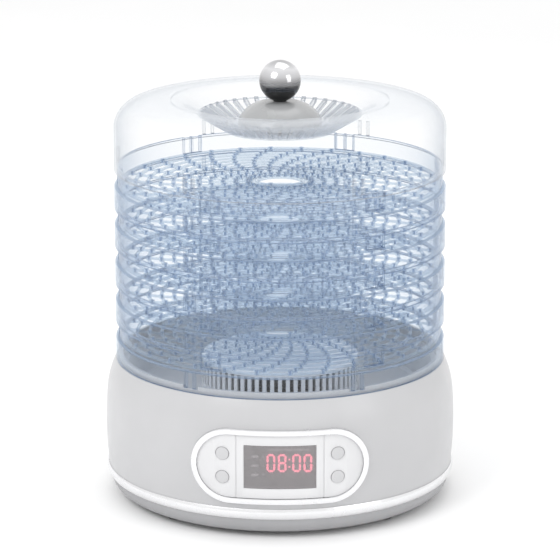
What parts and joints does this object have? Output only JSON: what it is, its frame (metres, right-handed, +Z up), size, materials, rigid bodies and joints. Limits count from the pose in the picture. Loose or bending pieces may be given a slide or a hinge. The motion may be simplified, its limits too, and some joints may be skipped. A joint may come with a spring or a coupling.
{
  "type": "food dehydrator",
  "caption": "Round countertop food dehydrator: fan-heater base with a curved control panel, stacked clear trays and a vented domed lid with a ball knob.",
  "frame": {"origin": "on the table, under the middle of the base", "axes": "+Z up the stack; the control panel faces -Y and the cord gland faces +Y"},
  "size_m": [0.3409, 0.346, 0.4267],
  "materials": {
    "housing_plastic": "light grey, satin gloss",
    "pan_plastic": "mid grey, fine texture",
    "white_plastic": "white, glossy",
    "bright_trim": "bright metallised",
    "clear_plastic": "clear, faint blue",
    "clear_lid_plastic": "clear, colourless",
    "smoked_lens": "dark glossy lens",
    "button_grey": "soft grey",
    "knob_metal": "dark polished steel",
    "knob_grey": "mid grey, glossy",
    "steel": "zinc plated",
    "aluminium": "mill finish",
    "mica": "mica board, pale",
    "heating_wire": "oxidised resistance wire",
    "bronze": "sintered bronze",
    "black_plastic": "black",
    "fan_plastic": "dark grey",
    "rubber_black": "soft black",
    "rubber_grey": "soft grey",
    "board_green": "circuit board",
    "component_dark": "moulded components"
  },
  "bodies": {
    "base": {"upper_housing": "housing_plastic", "trim_ring": "bright_trim", "bottom_pan": "pan_plastic", "rubber_feet": "rubber_grey", "air_diffuser": "white_plastic", "housing_screws": "steel", "cord_gland": "rubber_black", "air_duct": "aluminium", "duct_screws": "steel", "heater_frame": "mica", "heating_coil": "heating_wire", "thermal_cutout": "black_plastic", "temperature_probe": "steel", "motor_can": "steel", "motor_bearing": "bronze", "motor_bracket": "aluminium", "bracket_screws": "steel", "power_board": "board_green", "power_components": "component_dark", "panel_bezel": "bright_trim", "panel_face": "white_plastic", "display_window": "smoked_lens", "display_module": "component_dark", "control_board": "board_green", "tact_switches": "component_dark", "board_screws": "steel"},
    "fan_rotor": {"motor_shaft": "steel", "fan_impeller": "fan_plastic", "fan_clip": "steel"},
    "tray_1": {"tray_1_wall": "clear_plastic", "tray_1_floor": "clear_plastic"},
    "tray_2": {"tray_2_wall": "clear_plastic", "tray_2_floor": "clear_plastic"},
    "tray_3": {"tray_3_wall": "clear_plastic", "tray_3_floor": "clear_plastic"},
    "tray_4": {"tray_4_wall": "clear_plastic", "tray_4_floor": "clear_plastic"},
    "tray_5": {"tray_5_wall": "clear_plastic", "tray_5_floor": "clear_plastic"},
    "lid": {"lid_dome": "clear_lid_plastic", "lid_funnel": "clear_lid_plastic"},
    "vent_knob": {"knob_ball": "knob_metal", "knob_cap": "knob_grey", "knob_stem": "steel", "vent_shutter": "clear_lid_plastic", "shutter_nut": "steel"},
    "power_button": {"power_button": "button_grey"},
    "mode_button": {"mode_button": "button_grey"},
    "plus_button": {"plus_button": "button_grey"},
    "minus_button": {"minus_button": "button_grey"}
  },
  "joints": [
    {"name": "fan_spin", "type": "hinge", "parent": "base", "child": "fan_rotor", "pos_m": [0, 0, 0.051], "axis": [0, 0, 1], "continuous": true},
    {"name": "tray_1_lift", "type": "slide", "parent": "base", "child": "tray_1", "axis": [0, 0, 1], "range_m": [0, 0.068]},
    {"name": "tray_2_lift", "type": "slide", "parent": "tray_1", "child": "tray_2", "axis": [0, 0, 1], "range_m": [0, 0.068]},
    {"name": "tray_3_lift", "type": "slide", "parent": "tray_2", "child": "tray_3", "axis": [0, 0, 1], "range_m": [0, 0.068]},
    {"name": "tray_4_lift", "type": "slide", "parent": "tray_3", "child": "tray_4", "axis": [0, 0, 1], "range_m": [0, 0.068]},
    {"name": "tray_5_lift", "type": "slide", "parent": "tray_4", "child": "tray_5", "axis": [0, 0, 1], "range_m": [0, 0.068]},
    {"name": "lid_lift", "type": "slide", "parent": "tray_5", "child": "lid", "axis": [0, 0, 1], "range_m": [0, 0.068]},
    {"name": "vent_turn", "type": "hinge", "parent": "lid", "child": "vent_knob", "pos_m": [0, 0, 0.3672], "axis": [0, 0, 1], "range_deg": [0, 4.5]},
    {"name": "power_button_press", "type": "slide", "parent": "base", "child": "power_button", "axis": [0, 1, 0], "range_m": [0, 0.0015], "stiffness_N_per_m": 400, "springref_m": -0.0005},
    {"name": "mode_button_press", "type": "slide", "parent": "base", "child": "mode_button", "axis": [0, 1, 0], "range_m": [0, 0.0015], "stiffness_N_per_m": 400, "springref_m": -0.0005},
    {"name": "plus_button_press", "type": "slide", "parent": "base", "child": "plus_button", "axis": [0, 1, 0], "range_m": [0, 0.0015], "stiffness_N_per_m": 400, "springref_m": -0.0005},
    {"name": "minus_button_press", "type": "slide", "parent": "base", "child": "minus_button", "axis": [0, 1, 0], "range_m": [0, 0.0015], "stiffness_N_per_m": 400, "springref_m": -0.0005}
  ]
}
